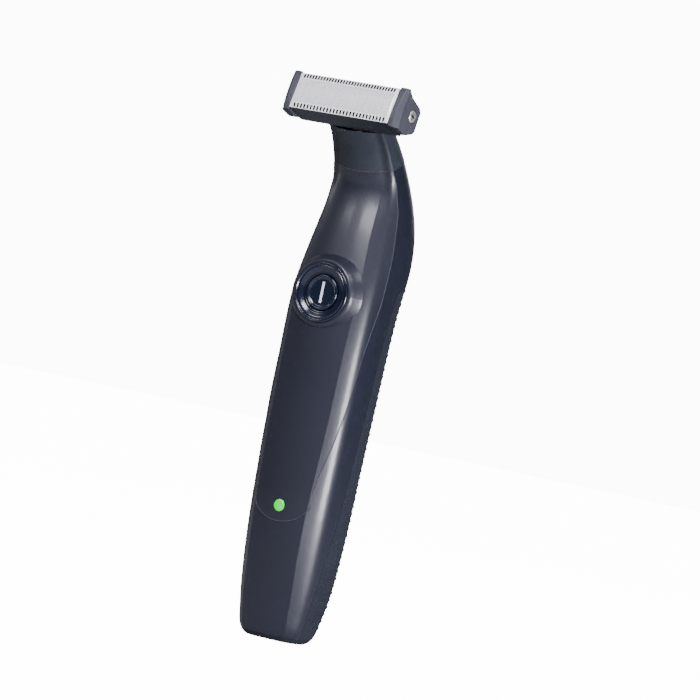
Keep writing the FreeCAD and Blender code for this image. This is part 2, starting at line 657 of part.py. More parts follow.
motor_armature = cut("motor_armature", rod("armature_core", MOTOR, (0, 0), "z", 6.3, 90, 106),
                     rod("armature_bore", MOTOR, (0, 0), "z", dim.shaft_radius + 0.02, 80, 120),
                     *[block(f"winding_slot_{i}",
                             MOTOR.multiply(Placement(Vector(), Rotation(Vector(0, 0, 1), 120 * i))),
                             (-0.7, 0.7), (3.4, 7), (89, 107)) for i in range(3)])
terminal_z = (dim.motor_low - 3.3, dim.motor_low - 1.82)
motor_terminals = together("motor_terminals", *[
    block(f"motor_terminal_{i}", MOTOR, (x - 1, x + 1), (-2.0, -1.6), terminal_z)
    for i, x in enumerate((-5.0, 5.0))
])
crank_pin = rod("crank_pin", MOTOR, (dim.crank_throw, 0), "z", dim.crank_pin_radius, 115.5, 119.2)
crank_disc = rod("crank_disc", MOTOR, (0, 0), "z", 3.2, 114.1, 116.0)
crank = cut("crank", joined("crank_blank", crank_disc, crank_pin),
            rod("crank_bore", MOTOR, (0, 0), "z", dim.shaft_radius + 0.02, 113, 115.45))

# ---------------------------------------------------------------- rocker and its frame
frame_top = [
    block("lug_front", ROCKER, (-5.0, 5.0), (-4.2, -3.1), (-2.6, 2.0)),
    block("lug_back", ROCKER, (-5.8, 5.8), (2.8, 4.6), (-2.6, 2.6)),
    *[block(f"post_{i}", ROCKER, x, (-3.3, 4.6), (-19.6, 2.6))
      for i, x in enumerate(((-5.8, -4.3), (4.3, 5.8)))],
]
drive_frame = cut(
    "drive_frame",
    joined("frame_blank", *frame_top,
           block("frame_plate", HANDLE, (-7.0, 7.0), (-5.5, 11.8), (can_top + 0.05, can_top + 1.4)),
           block("frame_flange", HANDLE, (-7.0, 7.0), (-5.5, -4.0), (104.6, can_top + 1.4))),
    rod("pivot_bore", ROCKER, (0, 0), "y", 1.02, -8, 8),
    rod("shaft_clearance", MOTOR, (0, 0), "z", 2.6, 110, 113),
    *[rod(f"flange_bore_{i}", SCREW_LINE, (x, 0), "z", 0.95, 3, 7) for i, x in screw_places],
    *[rod(f"plate_bore_{i}", MOTOR, (0, y), "z", 0.85, 110, 114) for i, y in enumerate((-5.2, 5.2))],
)
motor_screws = together("motor_screws", *[
    joined(f"motor_screw_{i}",
           rod(f"motor_screw_head_{i}", MOTOR, (0, y), "z", 1.5, can_top + 1.42, can_top + 2.4),
           rod(f"motor_screw_shank_{i}", MOTOR, (0, y), "z", 0.8, can_top + 0.06, can_top + 1.5))
    for i, y in enumerate((-5.2, 5.2))
])
rocker_pin = rod("rocker_pin", ROCKER, (0, 0), "y", 1.0, -4.2, 4.6)
reach = math.hypot(TIP.y, TIP.z)
drive_rocker = cut(
    "drive_rocker",
    joined("rocker_blank", rod("rocker_hub", ROCKER, (0, 0), "y", 2.9, -2.4, 2.4),
           block("rocker_lower", ROCKER, (-1.5, 1.5), (-1.5, 1.5), (-11.6, -1.0)),
           block("fork_bridge", ROCKER, (-3.3, 3.3), (-1.9, 1.9), (-12.5, -11.0)),
           block("fork_left", ROCKER, (-3.3, -2.2), (-1.9, 1.9), (-15.2, -12.0)),
           block("fork_right", ROCKER, (2.2, 3.3), (-1.9, 1.9), (-15.2, -12.0)),
           block("rocker_upper", ARM, (-1.3, 1.3), (-1.15, 1.15), (1.0, reach - 4.6)),
           rod("rocker_tip", ARM, (0, 0), "z", 1.0, reach - 5.0, reach + 0.4)),
    rod("rocker_bore", ROCKER, (0, 0), "y", 1.05, -8, 8),
)

# ---------------------------------------------------------------- neck end and head mount
socket_bore = block("socket_bore", NECK_END, (-5.35, 5.35), (-3.4, 2.1), (-20, 20))
saddle_hollow = rod("saddle_hollow", HEAD, (0, 0), "x", dim.saddle_radius + 0.3, -20, 20)
neck_socket = cut("neck_socket", shaped("neck_socket_blank", neck_plug(-6.2, -0.3)),
                  socket_bore, saddle_hollow)
seal_slot = block("seal_slot", NECK_END, (-2.6, 2.6), (-3.4, 0.8), (-20, 20))
neck_seal = cut("neck_seal", shaped("neck_seal_blank", neck_plug(-7.5, -6.6)), seal_slot)
ear_x = (4.1, 5.2)
mount_parts = [block("mount_block", NECK_END, (-5.2, 5.2), (-1.3, 1.95), (-5.9, -3.3))]
for i, (low, high) in enumerate(((-ear_x[1], -ear_x[0]), ear_x)):
    mount_parts.append(block(f"mount_ear_{i}", NECK_END, (low, high), (-1.2, 1.9), (-3.8, dim.end_drop)))
    mount_parts.append(rod(f"ear_end_{i}", PULL, (0, 0), "x", 1.9, low, high))
head_mount = cut(
    "head_mount", joined("mount_blank", *mount_parts),
    block("rocker_path", NECK_END, (-2.9, 2.9), (-10, 1.3), (-20, 10)),
    rod("ear_bore", PULL, (0, 0), "x", 1.02, -9, 9),
)
tilt_pins = together("tilt_pins", *[
    rod(f"tilt_pin_{i}", PULL, (0, 0), "x", 1.0, low, high)
    for i, (low, high) in enumerate(((-7.2, -4.1), (4.1, 7.2)))
])

# ---------------------------------------------------------------- head
cap_outline = [
    (-6.45, 6.6), (-4.3, 7.05), (-2.2, 7.25), (-0.3, 7.3), (2.0, 7.2), (4.0, 7.0), (5.6, 6.7), (5.15, 5.0),
    (4.45, 3.3), (4.1, 0.5), (3.75, -2.3), (3.0, -3.4), (-3.2, -3.9), (-4.1, -3.3), (-5.6, -0.6), (-6.5, 1.3),
    (-6.6, 4.2),
]
trough_upper = [(4.95, 6.5), (4.8, 5.0), (4.2, 3.3), (4.15, 0.5), (4.05, -2.6)]
trough_lower = [(-6.02, 2.4), (-5.92, 4.6), (-5.9, 6.5)]


def trough(name, inset, reach_x):
    """The head's trough, as long each way as reach_x: two flanks and a round back about the tilt axis."""
    radius = float(dim.back_radius) - inset
    angles = [math.radians(a) for a in range(-48, -181, -12)]
    upper = [(y - inset, z) for y, z in trough_upper]
    back = [(radius * math.cos(a), radius * math.sin(a)) for a in angles]
    lower = [(y + inset, z) for y, z in trough_lower]
    return plate(name, "YZ_Plane", HEAD, [upper + back + lower], -reach_x, reach_x)


cap_low, cap_high = dim.head_half - dim.cap_thick, dim.head_half
chamfers = [
    plate(f"chamfer_{side}", "XZ_Plane", HEAD, [[(s * 17.3, -0.9), (s * 17.3, -9.0), (s * 9.2, -9.0)]],
          -12, 12)
    for side, s in (("left", -1), ("right", 1))
]
inner_chamfers = [
    plate(f"inner_chamfer_{side}", "XZ_Plane", HEAD, [[(s * 17.3, 0.7), (s * 17.3, -9.0), (s * 7.6, -9.0)]],
          -12, 12)
    for side, s in (("left", -1), ("right", 1))
]
cheeks = [
    block(f"cheek_{i}", HEAD, x, (-5.2, 5.2), (-4.6, 2.2)) for i, x in enumerate(((-7.6, -6.1), (6.1, 7.6)))
]
well = cut("well", trough("well_blank", 1.1, 15.2), *inner_chamfers, *cheeks)
head_housing = cut(
    "head_housing", trough("trough_blank", 0.0, cap_low - 0.12), well, *chamfers,
    block("mount_window", PULL, (-6.0, 6.0), (-4.2, 4.2), (-9, -1.0)),
    rod("cheek_bore", HEAD, (0, 0), "x", 1.05, -9, 9),
    rod("screw_bore", HEAD, (0, 0), "x", 0.85, -20, 20),
)


def end_cap(name, side):
    """An end of the head: a rounded plate with a seat for its screw."""
    span = (cap_low, cap_high) if side > 0 else (-cap_high, -cap_low)
    blank = plate(name + "_blank", "YZ_Plane", HEAD, [cap_outline], *span)
    outer = side * float(cap_high)
    to_head = HEAD.inverse()

    def on_outer_face(edge):
        """Whether both ends of an edge lie in the cap's outer face."""
        return all(abs(to_head.multVec(vertex.Point).x - outer) < 0.01 for vertex in edge.Vertexes)

    soft = rounded(name + "_soft", blank, 0.45, on_outer_face)
    seat = (18.0, 20.0) if side > 0 else (-20.0, -18.0)
    return cut(name, soft, rod(name + "_seat", HEAD, (0, 0), "x", dim.screw_head + 0.1, *seat),
               rod(name + "_bore", HEAD, (0, 0), "x", 0.85, -30, 30))


end_cap_left, end_cap_right = end_cap("end_cap_left", -1), end_cap("end_cap_right", 1)


def cap_screw(i, side):
    """A screw through an end cap, with a cross recess in its head."""
    name = f"cap_screw_{i}"
    head_x = (18.02, 19.05) if side > 0 else (-19.05, -18.02)
    shank_x = (14.4, 18.1) if side > 0 else (-18.1, -14.4)
    cross_x = (18.6, 19.6) if side > 0 else (-19.6, -18.6)
    return cut(name, joined(name + "_blank", rod(name + "_head", HEAD, (0, 0), "x", dim.screw_head, *head_x),
                            rod(name + "_shank", HEAD, (0, 0), "x", 0.8, *shank_x)),
               block(name + "_cross_a", HEAD, cross_x, (-1.2, 1.2), (-0.22, 0.22)),
               block(name + "_cross_b", HEAD, cross_x, (-0.22, 0.22), (-1.2, 1.2)))


end_cap_screws = together("end_cap_screws", cap_screw(0, -1), cap_screw(1, 1))


def arched(name, radius, thick, half, reach_x):
    """A curved strip along the head, its crown on the head's own +Z."""
    crown = dim.foil_top - (dim.foil_radius - radius)
    middle = crown - radius
    centre = (dim.foil_shift, middle)
    ring = cut(name + "_ring", rod(name + "_out", HEAD, centre, "x", radius, -reach_x, reach_x),
               rod(name + "_in", HEAD, centre, "x", radius - thick, -reach_x - 1, reach_x + 1))
    span = (dim.foil_shift - half, dim.foil_shift + half)
    return kept(name, ring, block(name + "_span", HEAD, (-20, 20), span, (0, 12)))


def comb(name, base, count, pitch, wide, spans, depth):
    """Cross slots through a strip, evenly spaced about its middle, in one or more rows."""
    slots = []
    for low, high in spans:
        for i in range(int(count)):
            x = (i - (int(count) - 1) / 2) * float(pitch)
            corner = Vector(x - float(wide) / 2, float(dim.foil_shift) + low, 9 - depth)
            slots.append(Part.makeBox(float(wide), high - low, depth, corner))
    tool = shaped(name + "_slots", Part.makeCompound(slots))
    tool.Placement = HEAD
    return cut(name, base, tool)


row_out = float(dim.foil_half) - 0.35
row_in = row_out - float(dim.slot_long)
foil_plain = arched("foil_plain", dim.foil_radius, dim.foil_thick, dim.foil_half, cap_low - 0.1)
foil_sheet = comb("foil_sheet", foil_plain, dim.slot_count, dim.slot_pitch, dim.slot_wide,
                  [(row_in, row_out), (-row_out, -row_in)], 4.0)
cutter_plain = arched("cutter_plain", dim.foil_radius - dim.foil_thick - 0.1, 1.2, 3.6, 14.0)
inner_cutter = comb("inner_cutter", cutter_plain, 27, 1.0, 0.5, [(-2.9, 2.9)], 4.0)
carrier_fork = [block(f"carrier_fork_{i}", HEAD, x, (-3.0, 2.4), (-1.8, 3.1))
                for i, x in enumerate(((-2.7, -1.25), (1.25, 2.7)))]
carrier_bar = block("carrier_bar", HEAD, (-12.5, 12.5), (-3.2, 2.6), (3.0, 4.4))
cutter_carrier = joined("cutter_carrier", carrier_bar, *carrier_fork)


def leaf(i, x):
    """A bent leaf spring between the carrier and the cutter."""
    path = [(x - 3.0, 4.42), (x - 1.9, 4.42), (x, 5.5), (x + 1.9, 4.42), (x + 3.0, 4.42)]
    top = [(px, pz + 0.2) for px, pz in reversed(path)]
    return plate(f"leaf_{i}", "XZ_Plane", HEAD, [path + top], -1.2, 1.2)


cutter_springs = together("cutter_springs", leaf(0, -8.0), leaf(1, 8.0))

# ---------------------------------------------------------------- check and export
NODES = [
    base_cap, main_shell, front_panel, back_grip, neck_shell,
    button_bezel, button_cap, button_mark, switch_plunger, button_seal, tact_switch, light_lens, charge_light,
    circuit_board, board_chips, charge_socket, socket_tongue, port_board, battery_cell, battery_tabs,
    chassis, frame_screws,
    motor_can, motor_end_cap, motor_magnets, motor_shaft, motor_armature, motor_terminals, crank,
    drive_frame, motor_screws, rocker_pin, drive_rocker,
    neck_socket, neck_seal, head_mount, tilt_pins,
    head_housing, end_cap_left, end_cap_right, end_cap_screws, foil_sheet,
    inner_cutter, cutter_carrier, cutter_springs,
]


def export():
    """Recomputes the document, checks every object and writes one file for each node."""
    doc.recompute()
    for made in doc.Objects:
        bad = [state for state in made.State if state in ("Invalid", "Error")]
        if bad:
            raise RuntimeError(f"{made.Name}: {bad}")
    for node in NODES:
        shape = node.Shape
        if shape.isNull() or not shape.isValid() or not shape.Solids:
            raise RuntimeError(f"{node.Name} has no valid solid")
        print(f"{node.Label:18s} solids {len(shape.Solids):3d}  volume {shape.Volume:10.2f}")
        shape.exportStep(f"{PARTS}/{node.Label}.step")


export()
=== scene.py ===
import json
import math
from collections import defaultdict

import bmesh
import bpy
from mathutils import Matrix, Vector
from mathutils.geometry import delaunay_2d_cdt


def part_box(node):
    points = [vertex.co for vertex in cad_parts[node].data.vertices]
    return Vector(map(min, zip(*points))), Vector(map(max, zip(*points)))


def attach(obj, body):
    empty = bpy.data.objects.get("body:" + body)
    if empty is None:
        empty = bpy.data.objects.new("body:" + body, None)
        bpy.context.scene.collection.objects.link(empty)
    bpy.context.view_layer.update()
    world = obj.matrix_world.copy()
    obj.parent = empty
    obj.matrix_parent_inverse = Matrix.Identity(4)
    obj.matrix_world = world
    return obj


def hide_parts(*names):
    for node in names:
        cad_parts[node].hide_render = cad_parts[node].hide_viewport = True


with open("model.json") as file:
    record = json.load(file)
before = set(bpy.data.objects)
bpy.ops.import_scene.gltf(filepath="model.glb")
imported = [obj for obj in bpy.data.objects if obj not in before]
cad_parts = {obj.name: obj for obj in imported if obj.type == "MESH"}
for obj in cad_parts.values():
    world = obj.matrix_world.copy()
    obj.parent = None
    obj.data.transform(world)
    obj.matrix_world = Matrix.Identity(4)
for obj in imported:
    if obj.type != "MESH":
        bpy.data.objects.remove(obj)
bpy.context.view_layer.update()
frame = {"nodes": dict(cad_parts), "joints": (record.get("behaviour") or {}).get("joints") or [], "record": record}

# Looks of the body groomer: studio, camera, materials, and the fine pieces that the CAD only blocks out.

MM = 0.001
RECORD = frame["record"]
SLOT_OF = {part["node"]: part["material_slot"] for part in RECORD["subparts"]}
COLOUR_OF = {slot["slot"]: slot["base_color"] for slot in RECORD["materials"]}
JOINTS = {joint["name"]: joint for joint in frame["joints"]}

# ---------------------------------------------------------------- camera and studio
# Angles are in degrees and lengths in metres. Azimuth 0 is the front, and 90 is the right side.
CAMERA_AZIMUTH = 30.0
CAMERA_ELEVATION = -0.4
CAMERA_ROLL = 11.6
CAMERA_DISTANCE = 1.2
CLIP_NEAR, CLIP_FAR = 0.05, 20
VIEW_WIDTH = 0.1983  # what the picture's width shows at the handle's distance
LOOK_SIDE = 0.0046  # the picture's middle, from the handle's axis to the right and up
LOOK_UP = 0.0845
SENSOR = 36.0  # in millimetres
SKY_LIGHT = 0.05
BACKDROP_LIGHT = 15.0
FLOOR_LIGHT = 14.5
FLOOR_HALF = 4.0
FLOOR_HEIGHT = -0.0004
FLOOR_COLOUR, FLOOR_ROUGHNESS = (0.4, 0.4, 0.41), 0.8
FLOOR_GRAIN, FLOOR_GRAIN_DEPTH = 0.004, 0.03
LIGHT_TINT = (0.93, 0.93, 1.0)
# Each softbox: azimuth and elevation from the handle, distance, width, height, power.
SOFTBOXES = [
    ("right", 72, -7.5, 0.38, 0.12, 0.09, 2.6),
    ("left", -95, 8, 0.9, 0.20, 1.0, 1.2),
    ("foil_glow", 12, 40, 0.9, 0.36, 0.26, 8.5),
    ("foil_gleam", -34, 36, 0.9, 0.30, 0.20, 2.0),
    ("shoulder_glow", 78, 52, 1.2, 0.4, 0.4, 4.5),
    ("back_fill", 200, 25, 1.0, 0.6, 0.6, 2.5),
]


def toward(azimuth, elevation):
    """The direction from the handle to a place round it."""
    a, e = math.radians(azimuth), math.radians(elevation)
    return Vector((math.sin(a) * math.cos(e), -math.cos(a) * math.cos(e), math.sin(e)))


def camera():
    """The camera, leaned to one side so that the standing handle leans in the picture."""
    a, roll = math.radians(CAMERA_AZIMUTH), math.radians(CAMERA_ROLL)
    back = toward(CAMERA_AZIMUTH, CAMERA_ELEVATION)
    right = Vector((math.cos(a), math.sin(a), 0))
    up = back.cross(right)
    look = right * LOOK_SIDE + Vector((0, 0, LOOK_UP))
    data = bpy.data.cameras.new("camera")
    data.sensor_width = SENSOR
    data.lens = SENSOR * CAMERA_DISTANCE / VIEW_WIDTH
    data.clip_start, data.clip_end = CLIP_NEAR, CLIP_FAR
    seen = bpy.data.objects.new("camera", data)
    bpy.context.collection.objects.link(seen)
    across = right * math.cos(roll) + up * math.sin(roll)
    upright = up * math.cos(roll) - right * math.sin(roll)
    turn = Matrix((across, upright, back)).transposed()
    seen.matrix_world = Matrix.Translation(look + back * CAMERA_DISTANCE) @ turn.to_4x4()
    bpy.context.scene.camera = seen


def softbox(name, azimuth, elevation, distance, width, height, power):
    """An area light that faces the middle of the handle."""
    away = toward(azimuth, elevation)
    data = bpy.data.lights.new(name, "AREA")
    data.shape = "RECTANGLE"
    data.size, data.size_y = width, height
    data.energy = power
    data.color = LIGHT_TINT
    light = bpy.data.objects.new(name, data)
    bpy.context.collection.objects.link(light)
    light.location = Vector((0, 0, LOOK_UP)) + away * distance
    light.rotation_mode = "QUATERNION"
    light.rotation_quaternion = away.to_track_quat("Z", "Y")


def backdrop():
    """A white backdrop for the camera, and a dim even sky for everything else."""
    world = bpy.data.worlds.new("studio")
    world.use_nodes = True
    tree = world.node_tree
    sky = tree.nodes["Background"]
    sky.inputs["Strength"].default_value = SKY_LIGHT
    sky.inputs["Color"].default_value = (1, 1, 1, 1)
    white = tree.nodes.new("ShaderNodeBackground")
    white.inputs["Strength"].default_value = BACKDROP_LIGHT
    path = tree.nodes.new("ShaderNodeLightPath")
    mix = tree.nodes.new("ShaderNodeMixShader")
    tree.links.new(path.outputs["Is Camera Ray"], mix.inputs["Fac"])
    tree.links.new(sky.outputs[0], mix.inputs[1])
    tree.links.new(white.outputs[0], mix.inputs[2])
    tree.links.new(mix.outputs[0], tree.nodes["World Output"].inputs["Surface"])
    bpy.context.scene.world = world


def floor_paint():
    """A pale paint that glows for the camera only, so that the floor runs into the backdrop."""
    pale = Finish("floor_paint", FLOOR_COLOUR, roughness=FLOOR_ROUGHNESS)
    pale.grain(FLOOR_GRAIN, FLOOR_GRAIN_DEPTH)
    both = pale.node("ShaderNodeAddShader")
    glow = pale.node("ShaderNodeEmission")
    path = pale.node("ShaderNodeLightPath")
    level = pale.node("ShaderNodeMath", operation="MULTIPLY")
    level.inputs[1].default_value = FLOOR_LIGHT
    pale.link(path.outputs["Is Camera Ray"], level.inputs[0])
    pale.link(level.outputs[0], glow.inputs["Strength"])
    pale.link(pale.shader.outputs[0], both.inputs[0])
    pale.link(glow.outputs[0], both.inputs[1])
    pale.link(both.outputs[0], pale.tree.nodes["Material Output"].inputs["Surface"])
    return pale.material


def studio():
    """The backdrop, the softboxes and the floor."""
    backdrop()
    for name, *numbers in SOFTBOXES:
        softbox(name, *numbers)
    half = FLOOR_HALF
    corners = [(x, y, FLOOR_HEIGHT) for x, y in ((-half, -half), (half, -half), (half, half), (-half, half))]
    mesh = bpy.data.meshes.new("floor")
    mesh.from_pydata(corners, [], [(0, 1, 2, 3)])
    mesh.materials.append(floor_paint())
    floor = bpy.data.objects.new("floor", mesh)
    bpy.context.collection.objects.link(floor)


# ---------------------------------------------------------------- materials
NOISE_DETAIL = 3.0
NOISE_LOW, NOISE_HIGH = 0.3, 0.7  # noise seldom goes past these
COAT_ROUGHNESS = 0.16
WEAR_SHARE = 0.06  # how far the roughness strays either way
WEAR_PATCH = 0.6  # the size of its patches against the tone's
LAMP_BODY, LAMP_GLOW, LAMP_LIGHT = (0.0, 0.12, 0.0, 1), (0.0, 1.0, 0.0, 1), 0.25


class Finish:
    """A node material: a Principled shader whose colour, roughness and bump follow noise."""

    def __init__(self, name, colour, **sockets):
        self.material = bpy.data.materials.new(name)
        self.material.use_nodes = True
        self.tree = self.material.node_tree
        self.shader = self.tree.nodes["Principled BSDF"]
        self.colour = tuple(colour)
        self.shader.inputs["Base Color"].default_value = (*self.colour, 1)
        for socket, value in sockets.items():
            self.shader.inputs[SOCKETS[socket]].default_value = value
        self.place = self.node("ShaderNodeTexCoord").outputs["Object"]

    def node(self, kind, **fields):
        """A new node with some of its settings."""
        made = self.tree.nodes.new(kind)
        for field, value in fields.items():
            setattr(made, field, value)
        return made

    def link(self, source, target):
        """Joins two sockets."""
        self.tree.links.new(source, target)

    def noise(self, size):
        """Noise whose features are about size metres across."""
        texture = self.node("ShaderNodeTexNoise")
        texture.inputs["Scale"].default_value = 1 / size
        texture.inputs["Detail"].default_value = NOISE_DETAIL
        self.link(self.place, texture.inputs["Vector"])
        return texture.outputs["Fac"]

    def spread(self, source, low, high):
        """Maps noise to the range between two values."""
        ranged = self.node("ShaderNodeMapRange")
        ranged.inputs["From Min"].default_value = NOISE_LOW
        ranged.inputs["From Max"].default_value = NOISE_HIGH
        ranged.inputs["To Min"].default_value = low
        ranged.inputs["To Max"].default_value = high
        self.link(source, ranged.inputs["Value"])
        return ranged.outputs["Result"]

    def tone(self, size, amount):
        """The colour grows lighter and darker by a share, in patches."""
        mix = self.node("ShaderNodeMix", data_type="RGBA")
        self.link(self.spread(self.noise(size), 0.0, 1.0), mix.inputs["Factor"])
        mix.inputs["A"].default_value = (*(c * (1 - amount) for c in self.colour), 1)
        mix.inputs["B"].default_value = (*(min(1, c * (1 + amount)) for c in self.colour), 1)
        self.link(mix.outputs["Result"], self.shader.inputs["Base Color"])

    def wear(self, size, low, high):
        """The roughness varies between two values."""
        self.link(self.spread(self.noise(size), low, high), self.shader.inputs["Roughness"])

    def grain(self, size, depth_share):
        """A moulded or brushed grain: bump as deep as a share of its size."""
        bump = self.node("ShaderNodeBump")
        bump.inputs["Distance"].default_value = size * depth_share
        bump.inputs["Strength"].default_value = 1.0
        self.link(self.noise(size), bump.inputs["Height"])
        self.link(bump.outputs["Normal"], self.shader.inputs["Normal"])


SOCKETS = {
    "roughness": "Roughness", "metallic": "Metallic", "coat": "Coat Weight", "coat_rough": "Coat Roughness",
    "specular": "Specular IOR Level",
}
# One row for each finish in the record: roughness, metallic, coat, specular level, its colour's strength
# against the record's, grain size and depth share, tone patch size and share.
FINISHES = {
    "navy_gloss": (0.40, 0, 0.25, 0.45, 0.38, 0.0005, 0.0015, 0.03, 0.08),
    "navy_satin": (0.42, 0, 0.25, 0.45, 0.38, 0.0004, 0.0020, 0.03, 0.08),
    "soft_grip": (0.70, 0, 0.0, 0.30, 0.60, 0.0003, 0.0400, 0.01, 0.12),
    "charcoal": (0.48, 0, 0.0, 0.25, 0.46, 0.00025, 0.0150, 0.008, 0.06),
    "cap_grey": (0.45, 0, 0.0, 0.30, 0.42, 0.00022, 0.0200, 0.005, 0.06),
    "trough_dark": (0.5, 0, 0.0, 0.25, 0.5, 0.00022, 0.0200, 0.006, 0.08),
    "bezel_gloss": (0.20, 0, 0.5, 0.50, 0.70, 0.0006, 0.0010, 0.004, 0.08),
    "mark_white": (0.5, 0, 0.0, 0.5, 1.0, 0.0001, 0.050, 0.0006, 0.04),
    "black_plastic": (0.5, 0, 0.0, 0.3, 0.6, 0.0002, 0.040, 0.004, 0.15),
    "white_plastic": (0.5, 0, 0.0, 0.5, 1.0, 0.0002, 0.040, 0.004, 0.06),
    "black_rubber": (0.8, 0, 0.0, 0.3, 0.6, 0.0002, 0.060, 0.004, 0.20),
    "light_green": (0.2, 0, 0.5, 0.5, 1.0, 0.0003, 0.010, 0.001, 0.05),
    "chip_light": (0.3, 0, 0.2, 0.5, 1.0, 0.0002, 0.020, 0.001, 0.08),
    "board_green": (0.35, 0, 0.3, 0.5, 1.0, 0.0004, 0.020, 0.002, 0.25),
    "chip_black": (0.5, 0, 0.0, 0.5, 1.0, 0.00015, 0.050, 0.002, 0.15),
    "socket_steel": (0.28, 1, 0.0, 0.5, 1.0, 0.0002, 0.020, 0.002, 0.06),
    "nickel": (0.3, 1, 0.0, 0.5, 1.0, 0.0002, 0.020, 0.002, 0.08),
    "cell_wrap": (0.3, 0, 0.3, 0.5, 1.0, 0.0010, 0.010, 0.006, 0.10),
    "motor_steel": (0.35, 1, 0.0, 0.5, 1.0, 0.0002, 0.020, 0.004, 0.08),
    "magnet_grey": (0.6, 0, 0.0, 0.5, 1.0, 0.0002, 0.050, 0.002, 0.20),
    "armature_copper": (0.35, 1, 0.0, 0.5, 1.0, 0.0003, 0.100, 0.001, 0.20),
    "screw_steel": (0.42, 0.8, 0.0, 0.5, 1.0, 0.00015, 0.020, 0.001, 0.10),
    "pin_steel": (0.22, 1, 0.0, 0.5, 1.0, 0.00015, 0.020, 0.001, 0.06),
    "foil_steel": (0.42, 0.20, 0.0, 0.5, 1.38, 0.00015, 0.020, 0.003, 0.05),
    # painted shade: blade steel at 0.12 of its colour, so that what shows through the foil's holes reads dark
    "blade_steel": (0.5, 1, 0.0, 0.5, 0.12, 0.00015, 0.030, 0.002, 0.10),
    "acetal": (0.42, 0, 0.0, 0.5, 0.9, 0.0003, 0.020, 0.003, 0.04),
}


def finish(slot):
    """The material of a slot of the record."""
    roughness, metallic, coat, specular, strength, grain, depth, patch, share = FINISHES[slot]
    colour = [min(1.0, c * strength) for c in COLOUR_OF[slot]]
    made = Finish(slot, colour, roughness=roughness, metallic=float(metallic), coat=coat,
                  coat_rough=COAT_ROUGHNESS, specular=specular)
    made.tone(patch, share)
    made.wear(patch * WEAR_PATCH, roughness * (1 - WEAR_SHARE), roughness * (1 + WEAR_SHARE))
    made.grain(grain, depth)
    return made


def light_the_lamp():
    """The charge light's lens glows green."""
    lens = MATERIALS["light_green"].shader.inputs
    lens["Base Color"].default_value = LAMP_BODY
    lens["Emission Color"].default_value = LAMP_GLOW
    lens["Emission Strength"].default_value = LAMP_LIGHT


MATERIALS = {slot: finish(slot) for slot in FINISHES}
light_the_lamp()
for node, obj in frame["nodes"].items():
    obj.data.materials.clear()
    obj.data.materials.append(MATERIALS[SLOT_OF[node]].material)

# ---------------------------------------------------------------- mesh building
# New pieces are drawn in millimetres in a frame of their own. HEAD has its origin on the tilt axis, +X along
# the head and +Z out through the foil. BUTTON has its origin level with the button, and +Z out of it.
HEAD_LEAN = 72.5
HEAD = Matrix.Translation(JOINTS["head_tilt"]["pos_m"]) @ Matrix.Rotation(math.radians(HEAD_LEAN), 4, "X")
BUTTON_LOW, BUTTON_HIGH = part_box("button_cap")
BUTTON_AT = Vector((0, 0, (BUTTON_LOW.z + BUTTON_HIGH.z) / 2))
BUTTON = Matrix.Translation(BUTTON_AT) @ Matrix.Rotation(math.radians(90), 4, "X")
CREASE = 34  # degrees; faces that meet at more than this keep a sharp edge
SAME_PLACE = 1e-7  # corners nearer than this, in metres, are one
SAME_CORNER = 1e-6  # the same for a flat outline, in millimetres
INSIDE_ONLY = 1  # the triangulation's mode that fills only inside the outlines
EASE_MOST = 0.45  # an eased corner takes at most this share of a side


def piece(name, place, points, faces, body, slot, replaces=()):
    """A mesh in millimetres of its own frame, put in place, with its finish and the body it moves with."""
    mesh = bpy.data.meshes.new(name)
    mesh.from_pydata([place @ (Vector(point) * MM) for point in points], [], faces)
    made = bpy.data.objects.new(name, mesh)
    bpy.context.collection.objects.link(made)
    bm = bmesh.new()
    bm.from_mesh(mesh)
    bmesh.ops.remove_doubles(bm, verts=bm.verts, dist=SAME_PLACE)
    bmesh.ops.recalc_face_normals(bm, faces=bm.faces)
    bm.to_mesh(mesh)
    bm.free()
    mesh.materials.append(MATERIALS[slot].material)
    crease(mesh)
    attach(made, body)
    if replaces:
        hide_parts(*replaces)
    return made


def crease(mesh):
    """Smooth shading, with sharp edges where faces meet at more than the crease angle."""
    mesh.shade_smooth()
    bm = bmesh.new()
    bm.from_mesh(mesh)
    limit = math.radians(CREASE)
    for edge in bm.edges:
        edge.smooth = len(edge.link_faces) == 2 and edge.calc_face_angle(0.0) < limit
    bm.to_mesh(mesh)
    bm.free()


def eased(profile, radius, steps=4):
    """An open outline with each corner eased by a small curve."""
    out = [profile[0]]
    for before, corner, after in zip(profile, profile[1:], profile[2:]):
        before, here, after = Vector(before), Vector(corner), Vector(after)
        reach = min(radius, (before - here).length * EASE_MOST, (after - here).length * EASE_MOST)
        start = here + (before - here).normalized() * reach
        end = here + (after - here).normalized() * reach
        for k in range(steps + 1):
            t = k / steps
            out.append(tuple(start * (1 - t) ** 2 + here * 2 * t * (1 - t) + end * t**2))
    return out + [profile[-1]]


def lathe(profile, steps=112):
    """Points and faces of an outline (radius, height) turned about the frame's +Z."""
    points, faces, rings = [], [], []
    for radius, height in profile:
        if radius == 0:
            rings.append([len(points)] * steps)
            points.append((0, 0, height))
            continue
        rings.append(list(range(len(points), len(points) + steps)))
        for k in range(steps):
            angle = 2 * math.pi * k / steps
            points.append((radius * math.cos(angle), radius * math.sin(angle), height))
    for low, high in zip(rings, rings[1:]):
        for k in range(steps):
            j = (k + 1) % steps
            face = list(dict.fromkeys((low[k], low[j], high[j], high[k])))
            if len(face) > 2:
                faces.append(face)
    return points, faces


def turned_left(loop):
    """The same flat outline, running anticlockwise."""
    area = sum(a[0] * b[1] - b[0] * a[1] for a, b in zip(loop, loop[1:] + loop[:1]))
    return loop if area > 0 else loop[::-1]


